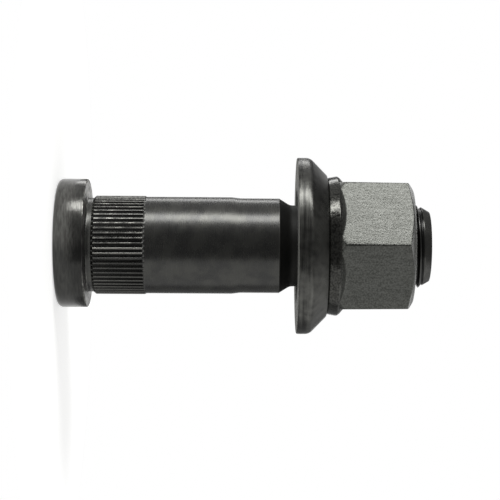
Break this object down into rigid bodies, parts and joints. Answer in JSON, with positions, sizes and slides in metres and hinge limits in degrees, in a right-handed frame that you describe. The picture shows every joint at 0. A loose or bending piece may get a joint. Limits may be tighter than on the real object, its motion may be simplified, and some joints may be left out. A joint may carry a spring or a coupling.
{
  "type": "wheel stud",
  "caption": "Press-in wheel stud with a serrated shank, a hexagon wheel nut run onto its threaded end, and a loose conical flange washer held captive on the nut.",
  "frame": {"origin": "on the stud's axis, in the flat bottom face of its head, which the stud stands on", "axes": "+Z runs along the stud's axis from its head to its threaded tip; -Y is the side that the picture shows, and -X is up in the picture"},
  "size_m": [0.0466, 0.0466, 0.0979],
  "materials": {
    "stud_steel": "black oxide on forged and rolled steel, oiled satin",
    "nut_steel": "grey phosphate, matt and grainy",
    "washer_steel": "black phosphate over a turned face, satin"
  },
  "bodies": {
    "stud": {"wheel_stud": "stud_steel"},
    "washer": {"flange_washer": "washer_steel"},
    "nut": {"hex_nut": "nut_steel"}
  },
  "joints": [
    {"name": "washer_travel", "type": "slide", "parent": "stud", "child": "washer", "axis": [0, 0, 1], "range_m": [-0.0042, 0.027]},
    {"name": "nut_turn", "type": "hinge", "parent": "washer", "child": "nut", "pos_m": [0, 0, 0.08], "axis": [0, 0, 1], "range_deg": [-1008, 6480]}
  ],
  "couplings": [
    {"joint": "nut_turn", "follows": "washer_travel", "rad_per_m": 4188.8}
  ]
}
